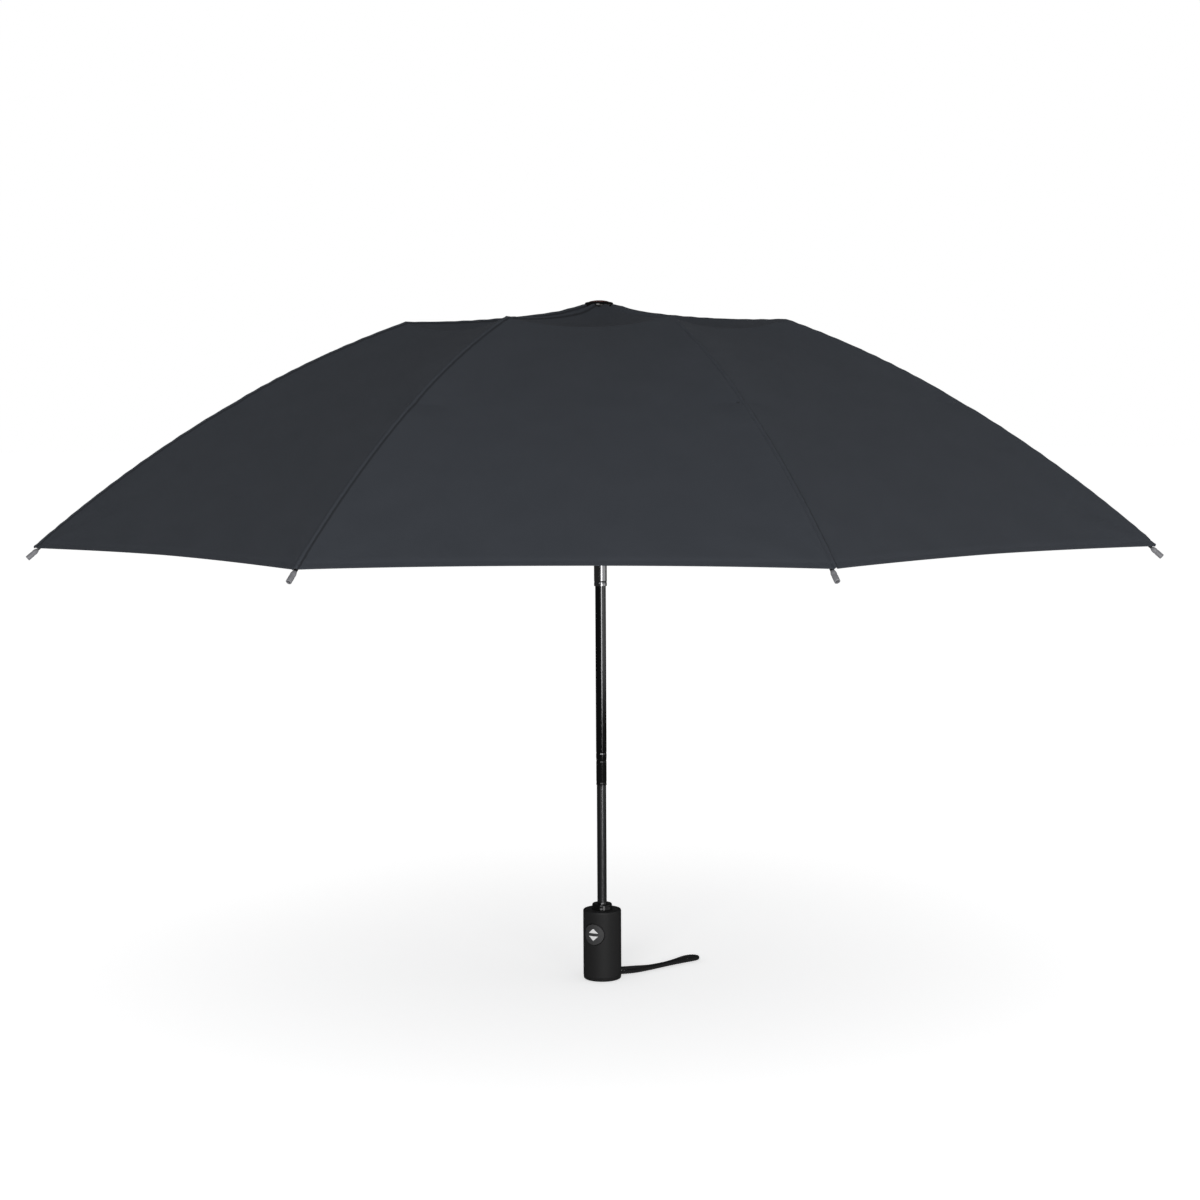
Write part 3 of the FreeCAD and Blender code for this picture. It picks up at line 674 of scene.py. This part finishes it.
# Crown cap. A low moulded button of gloss black plastic with a dark red-brown disc let
# into its top, snapped onto the stem that stands through the cloth.
CAP_BASE = 0.5899
gloss_black = Finish("gloss_black", (0.004, 0.004, 0.004), 0.16, Specular_IOR_Level=0.35)
cap_disc = Finish("dark_disc", (0.085, 0.026, 0.022), 0.42)
cap = turned_piece("crown_cap_shell", [
    (0.0, CAP_BASE - 0.0004), (0.0110, CAP_BASE - 0.0020), (0.0121, CAP_BASE - 0.0020),
    (0.0124, CAP_BASE - 0.0014), (0.0123, CAP_BASE + 0.0012), (0.0119, CAP_BASE + 0.0019),
    (0.0112, CAP_BASE + 0.0023), (0.0100, CAP_BASE + 0.0025), (0.0094, CAP_BASE + 0.0025),
    (0.0092, CAP_BASE + 0.0022), (0.0, CAP_BASE + 0.0022)])
fit_out(cap, "upper_shaft", gloss_black, ["crown_cap"])
disc = turned_piece("crown_cap_disc", [
    (0.0, CAP_BASE + 0.0022), (0.0090, CAP_BASE + 0.0022), (0.0090, CAP_BASE + 0.0026),
    (0.0086, CAP_BASE + 0.0029), (0.0068, CAP_BASE + 0.0034), (0.0045, CAP_BASE + 0.0038),
    (0.0022, CAP_BASE + 0.0040), (0.0, CAP_BASE + 0.0041)])
fit_out(disc, "upper_shaft", cap_disc)

# Shaft. Three thin steel tubes that slide into each other: dark chrome at the top,
# gloss black in the middle and dark nickel below, each with rolled ends.
TUBE_EDGE = 0.0002


def tube_piece(name, radius, wall, bottom, top, crimps=()):
    """Open tube with rounded rims and pressed-in rings at some heights."""
    outside = [(radius - TUBE_EDGE, bottom), (radius, bottom + TUBE_EDGE)]
    for height in crimps:
        outside += [(radius, height - 0.0012), (radius, height - 0.0008),
                    (radius - 0.00018, height - 0.0003), (radius - 0.00018, height + 0.0003),
                    (radius, height + 0.0008), (radius, height + 0.0012)]
    outside += [(radius, top - TUBE_EDGE), (radius - TUBE_EDGE, top)]
    inside = [(radius - wall, top), (radius - wall, bottom)]
    return turned_piece(name, outside + inside + [outside[0]])


dark_chrome = Finish("dark_chrome", (0.42, 0.42, 0.43), 0.12, 1.0)
black_lacquer = Finish("black_lacquer", (0.10, 0.10, 0.102), 0.12, 1.0)
dark_nickel = Finish("dark_nickel", (0.24, 0.24, 0.245), 0.24, 1.0)
for name, body, finish, radius, wall, bottom, top, crimps in (
        ("upper_tube", "upper_shaft", dark_chrome, 0.0056, 0.0005, 0.347, 0.584, (0.3505,)),
        ("middle_tube", "middle_shaft", black_lacquer, 0.00465, 0.00045, 0.196, 0.387, (0.2005,)),
        ("lower_tube", "handle", dark_nickel, 0.00415, 0.0005, 0.012, 0.230, ()),
        ("middle_tube_bush", "middle_shaft", gloss_black, 0.00455, 0.00035, 0.172, 0.196,
         (0.1745, 0.1935))):
    tube = tube_piece(name + "_shell", radius, wall, bottom, top, crimps)
    fit_out(tube, body, finish, [name])
tube_insert = Finish("tube_insert", (0.02, 0.02, 0.021), 0.45)
put_on(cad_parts["upper_tube_bush"], tube_insert)

# Grip. Moulded plastic with a soft matt coating: a plain cylinder with a rounded base,
# a raised rim round its greyer top, a round well for the button and a slot for the
# strap. The base cap shows as a fine line.
BUTTON_TURN = math.radians(-27.5 - 90)
BUTTON_HEIGHT = 0.042
BUTTON_RADIUS = 0.0091
WELL_RADIUS = 0.0097


def facing_button(distance):
    """Matrix that lays a piece built along Z along the button's direction."""
    turn = Matrix.Rotation(BUTTON_TURN, 4, "Z")
    lie = Matrix.Rotation(math.radians(90), 4, "Y")
    return Matrix.Translation((0, 0, BUTTON_HEIGHT)) @ turn @ Matrix.Translation(
        (distance, 0, 0)) @ lie


def soft_touch_finish(name, shade):
    finish = Finish(name, (shade, shade, shade * 1.02), 0.5, Specular_IOR_Level=0.3)
    speck = finish.noise(finish.object_place(), 2600.0, 1.0)
    finish.relief(speck, 0.00003)
    smear = finish.noise(finish.object_place(), 60.0, 3.0)
    finish.set("Roughness", 0.44 + 0.12 * smear)
    return finish


soft_touch = soft_touch_finish("soft_touch_black", 0.012)
grip_top = soft_touch_finish("grip_top_grey", 0.026)
grip = turned_piece("handle_grip", [
    (0.0, 0.0), (0.0146, 0.0), (0.0156, 0.00018), (0.0162, 0.0006), (0.01645, 0.0011),
    (0.01655, 0.0022), (0.01630, 0.0024), (0.01630, 0.0026), (0.01650, 0.0028),
    (GRIP_RADIUS, 0.0034), (GRIP_RADIUS, 0.0040), (GRIP_RADIUS, 0.0300), (GRIP_RADIUS, 0.0596),
    (GRIP_RADIUS, 0.0604),
    (0.0166, 0.0612), (0.0162, 0.0617), (0.0157, 0.0619), (0.0150, 0.0619),
    (0.0148, 0.0617), (0.0147, 0.0613), (0.0, 0.0613)], sides=96)
well = placed(turned_piece("well_tool", [(0.0, 0.0), (WELL_RADIUS, 0.0), (WELL_RADIUS, 0.012),
                                         (0.0, 0.012)], sides=64), facing_button(0.0092))
cut_with(grip, well)
deselect()
bpy.ops.mesh.primitive_cube_add(size=1)
slot = bpy.context.object
slot.scale = (0.012, 0.0038, 0.0068)
bpy.ops.object.transform_apply(location=False, rotation=False, scale=True)
bpy.ops.object.mode_set(mode="EDIT")
bpy.ops.mesh.select_all(action="SELECT")
bpy.ops.mesh.bevel(offset=0.0012, segments=3)
bpy.ops.object.mode_set(mode="OBJECT")
placed(slot, Matrix.Rotation(STRAP_EXIT_TURN, 4, "Z") @ Matrix.Translation((0.0175, 0, 0.0059)))
cut_with(grip, slot)
bpy.ops.object.shade_smooth_by_angle(angle=math.radians(30))
fit_out(grip, "handle", soft_touch, ["handle_shell", "handle_base_cap"])
top_plate = turned_piece("handle_top_plate", [
    (0.0, 0.0613), (0.0145, 0.0613), (0.0145, 0.06145), (0.0143, 0.0616), (0.0, 0.0616)],
    sides=96)
fit_out(top_plate, "handle", grip_top)

# Open and close button. A round rubbery pad with a fine pebbled grain, its face
# following the grip, and two pale triangles that point up to open and down to close.
pebbled = Finish("pebbled_rubber", (0.032, 0.032, 0.033), 0.55)
pebbles = pebbled.node("ShaderNodeTexVoronoi", sockets={
    "Vector": pebbled.object_place(), "Scale": 1500.0})
pebbled.relief(1 - pebbles, 0.00010)
pad = placed(turned_piece("open_close_button_pad", [
    (0.0, 0.0), (BUTTON_RADIUS, 0.0), (BUTTON_RADIUS, 0.0125), (0.0, 0.0125)], sides=64),
    facing_button(0.0118))
face = turned_piece("face_tool", [(0.0, 0.02), (0.01725, 0.02), (0.01725, 0.064), (0.0, 0.064)],
                    sides=160)
cut_with(pad, face, "INTERSECT")
edge = pad.modifiers.new("soft_edge", "BEVEL")
edge.width = 0.0005
edge.segments = 3
edge.limit_method = "ANGLE"
edge.angle_limit = math.radians(50)
bpy.ops.object.modifier_apply(modifier=edge.name)
bpy.ops.object.shade_smooth_by_angle(angle=math.radians(40))
fit_out(pad, "button", pebbled, ["open_close_button"])
mark_white = Finish("mark_white", (0.62, 0.62, 0.62), 0.5)
MARK_RADIUS = 0.00267
MARK_OFFSET = 0.00267
for name, sign in (("open_mark", 1), ("close_mark", -1)):
    deselect()
    bpy.ops.mesh.primitive_cylinder_add(vertices=3, radius=MARK_RADIUS, depth=0.006)
    mark = bpy.context.object
    mark.name = name
    stretch = Matrix.Diagonal((1.95, 1.0, 1.0, 1.0))
    point_up = Matrix.Rotation(0 if sign > 0 else math.pi, 4, "Z")
    placed(mark, Matrix.Translation((-sign * MARK_OFFSET, 0, 0.0148))
           @ Matrix.Rotation(math.pi / 2, 4, "Z") @ point_up @ stretch)
    placed(mark, facing_button(0.0))
    face = turned_piece("mark_tool", [(0.0, 0.02), (0.01733, 0.02), (0.01733, 0.064),
                                      (0.0, 0.064)], sides=160)
    cut_with(mark, face, "INTERSECT")
    bpy.ops.object.shade_smooth_by_angle(angle=math.radians(40))
    fit_out(mark, "button", mark_white)

# Collar. A gloss black ring pressed into the grip's top, where the shaft goes in.
collar = turned_piece("handle_collar_ring", [
    (0.00420, 0.0616), (0.0088, 0.0616), (0.0090, 0.0618), (0.0090, 0.0626),
    (0.00885, 0.0630), (0.00875, 0.0655), (0.0086, 0.0664), (0.0082, 0.0669),
    (0.0078, 0.0670), (0.00445, 0.0670), (0.00420, 0.0668), (0.00420, 0.0616)], sides=64)
fit_out(collar, "handle", gloss_black, ["handle_collar"])

# Rib tips. Short grey moulded sleeves pushed on the ribs' outer ends, open at the end,
# each sewn to a corner of the cloth.
TIP_LENGTH = 0.009
TIP_RADIUS = 0.0021
tip_grey = Finish("tip_grey", (0.16, 0.16, 0.17), 0.42)
end_a = bowed(JOINT_TWO, TIP, OUTER_BOW, 0.0, 11 / 12)
end_b = bowed(JOINT_TWO, TIP, OUTER_BOW, 0.0, 1.0)
tip_slope = math.atan2(end_b[1] - end_a[1], end_b[0] - end_a[0])
tip_model = turned_piece("rib_tip_model", [
    (0.0, -0.0016), (0.0013, -0.0016), (0.0017, -0.0010), (TIP_RADIUS - 0.0002, 0.0),
    (TIP_RADIUS, 0.0006), (TIP_RADIUS, 0.0022), (0.00195, 0.0026), (0.00195, 0.0032),
    (TIP_RADIUS, 0.0036), (TIP_RADIUS, TIP_LENGTH - 0.0003), (TIP_RADIUS - 0.0003, TIP_LENGTH),
    (TIP_RADIUS - 0.0006, TIP_LENGTH), (TIP_RADIUS - 0.0007, TIP_LENGTH - 0.0002),
    (TIP_RADIUS - 0.0007, 0.0030), (0.0, 0.0030)], sides=24)
for index in range(RIB_COUNT):
    tip = copied(tip_model, "rib_tip_sleeve_%d" % (index + 1))
    outwards = Vector((math.cos(tip_slope), 0, math.sin(tip_slope)))
    lie = Vector((0, 0, 1)).rotation_difference(outwards).to_matrix().to_4x4()
    placed(tip, Matrix.Rotation(rib_turn(index), 4, "Z")
           @ Matrix.Translation((end_b[0], 0, end_b[1])) @ lie)
    fit_out(tip, "outer_rib_body_%d" % (index + 1), tip_grey,
            ["rib_tip_%d" % (index + 1)])
bpy.data.objects.remove(tip_model)

# Ribs, struts and hubs. Pressed steel channels painted black near the shaft, dark
# anodised aluminium beyond the first joint and black glass fibre outside, on hubs
# of black nylon.
rib_black = Finish("rib_black", (0.020, 0.020, 0.021), 0.30, Coat_Weight=0.3)
rib_alloy = Finish("rib_alloy", (0.22, 0.225, 0.235), 0.32, 1.0)
glass_fibre = Finish("glass_fibre", (0.016, 0.016, 0.017), 0.38)
hub_black = Finish("hub_black", (0.018, 0.018, 0.018), 0.42)
spring_steel = Finish("spring_steel", (0.45, 0.45, 0.46), 0.28, 1.0)
FINISH_OF = {"inner_rib": rib_black, "strut": rib_black, "middle_rib": rib_alloy,
             "outer_rib": glass_fibre}
for node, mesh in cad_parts.items():
    kind = node.rsplit("_", 1)[0]
    if kind in FINISH_OF:
        put_on(mesh, FINISH_OF[kind])
for node in ("crown", "runner", "crown_plug", "handle_core"):
    put_on(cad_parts[node], hub_black)
for node in ("crown_wire_ring", "runner_wire_ring", "opening_spring", "button_spring"):
    put_on(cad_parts[node], spring_steel)
